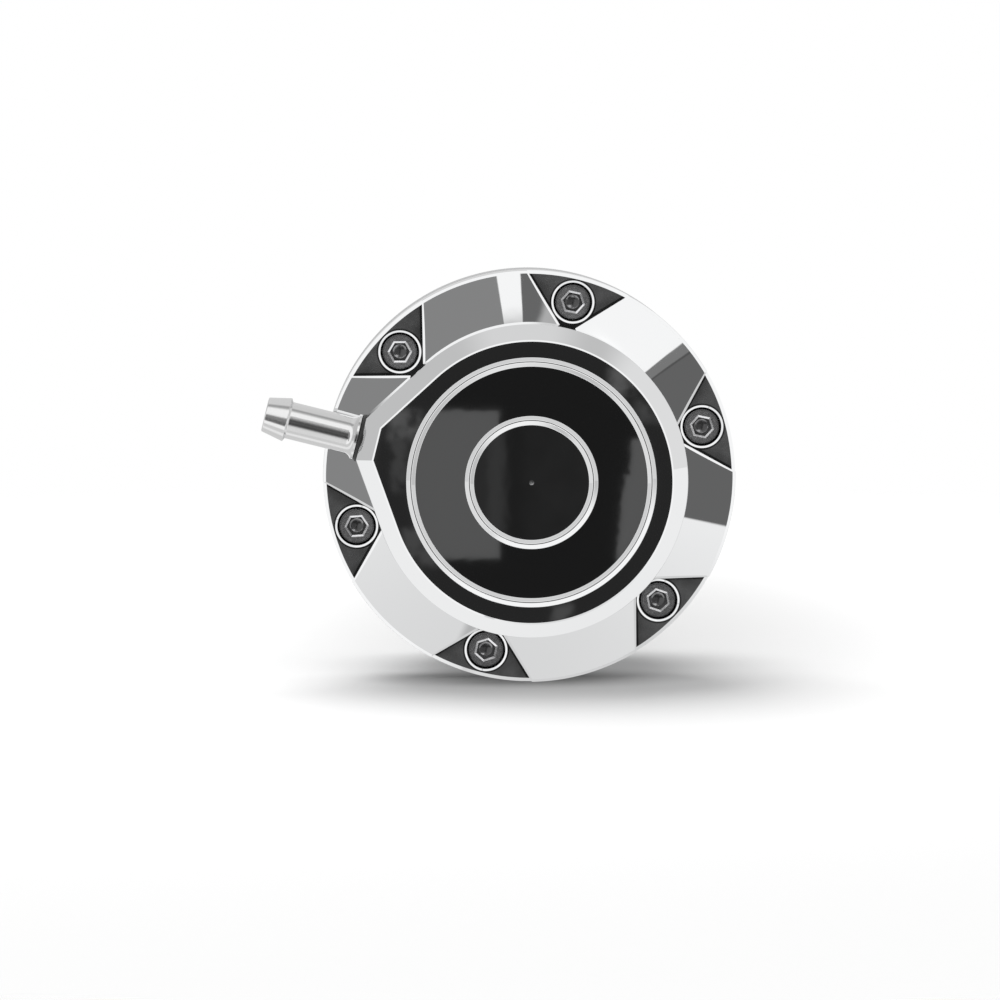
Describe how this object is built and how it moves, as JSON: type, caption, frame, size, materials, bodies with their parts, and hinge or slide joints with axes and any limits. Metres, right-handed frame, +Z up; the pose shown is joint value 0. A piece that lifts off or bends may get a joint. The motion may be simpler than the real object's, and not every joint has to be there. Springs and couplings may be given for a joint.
{
  "type": "wastegate actuator",
  "caption": "Pneumatic wastegate actuator: turned canister with a polished screwed-on cap, side hose barb, rolling diaphragm, nested springs and a push rod ending in an eye.",
  "frame": {"origin": "centre of the four mounting holes, on the mounting face at the foot of the canister", "axes": "+Y along the rod, out of the canister; the cap faces -Y; +Z up as the part stands in the picture; the hose barb points 14 degrees above -X"},
  "size_m": [0.0874, 0.1578, 0.0762],
  "materials": {
    "cap_polished": "mirror-polished aluminium",
    "screw_black": "black-oxide steel",
    "barb_steel": "satin-polished stainless steel",
    "seal_rubber": "black rubber",
    "canister_satin": "satin clear-anodised aluminium",
    "diaphragm_rubber": "fabric-backed silicone rubber",
    "piston_aluminium": "turned aluminium",
    "zinc_steel": "zinc-plated steel",
    "spring_steel": "oiled spring steel",
    "bronze": "sintered bronze",
    "rod_steel": "ground stainless steel",
    "rod_end_steel": "bright-plated machined steel"
  },
  "bodies": {
    "housing": {"cap": "cap_polished", "cap_screws": "screw_black", "hose_barb": "barb_steel", "barb_seal": "seal_rubber", "canister": "canister_satin", "diaphragm": "diaphragm_rubber", "main_spring": "spring_steel", "inner_spring": "spring_steel", "spring_seat": "zinc_steel", "guide_bush": "bronze", "rod_wiper": "seal_rubber", "bush_circlip": "spring_steel"},
    "push_rod": {"rod": "rod_steel", "piston": "piston_aluminium", "retainer_plate": "piston_aluminium", "backing_washer": "zinc_steel", "plate_washer": "zinc_steel", "piston_nut": "zinc_steel", "stud_seal": "seal_rubber", "jam_nut": "zinc_steel", "rod_end": "rod_end_steel", "eye_bush": "bronze"}
  },
  "joints": [
    {"name": "rod_slide", "type": "slide", "parent": "housing", "child": "push_rod", "axis": [0, 1, 0], "range_m": [0, 0.012], "stiffness_N_per_m": 6200, "springref_m": -0.021, "deforming": ["main_spring", "inner_spring", "diaphragm"]}
  ]
}
